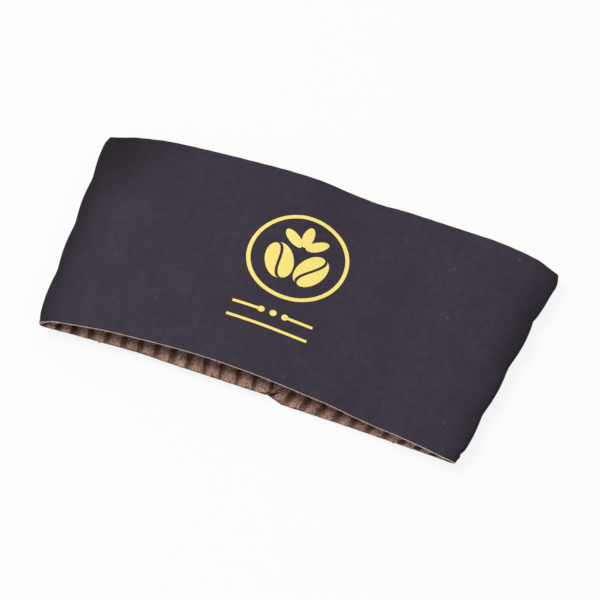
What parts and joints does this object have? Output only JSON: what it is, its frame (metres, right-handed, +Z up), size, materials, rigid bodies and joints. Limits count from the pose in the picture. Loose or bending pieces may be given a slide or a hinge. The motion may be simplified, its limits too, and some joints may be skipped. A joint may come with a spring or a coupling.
{
  "type": "paper coffee cup sleeve",
  "caption": "Corrugated paper sleeve for a hot drink cup, folded nearly flat: black outer liner, brown fluted inside, gold emblem on the front.",
  "frame": {"origin": "on the surface it lies on, under the middle of the folded sleeve's outline", "axes": "+Z up with the printed front on top, +X along the sleeve from the left fold to the right fold, +Y from the narrow cut edge to the wide cut edge"},
  "size_m": [0.1304, 0.0664, 0.0102],
  "materials": {
    "outer_liner": "matte black printed paper",
    "fluted_medium": "raw brown kraft paper",
    "gold_print": "flat gold ink film"
  },
  "bodies": {
    "root": {"outer_liner": "outer_liner", "fluted_medium": "fluted_medium", "gold_print": "gold_print"}
  },
  "joints": []
}
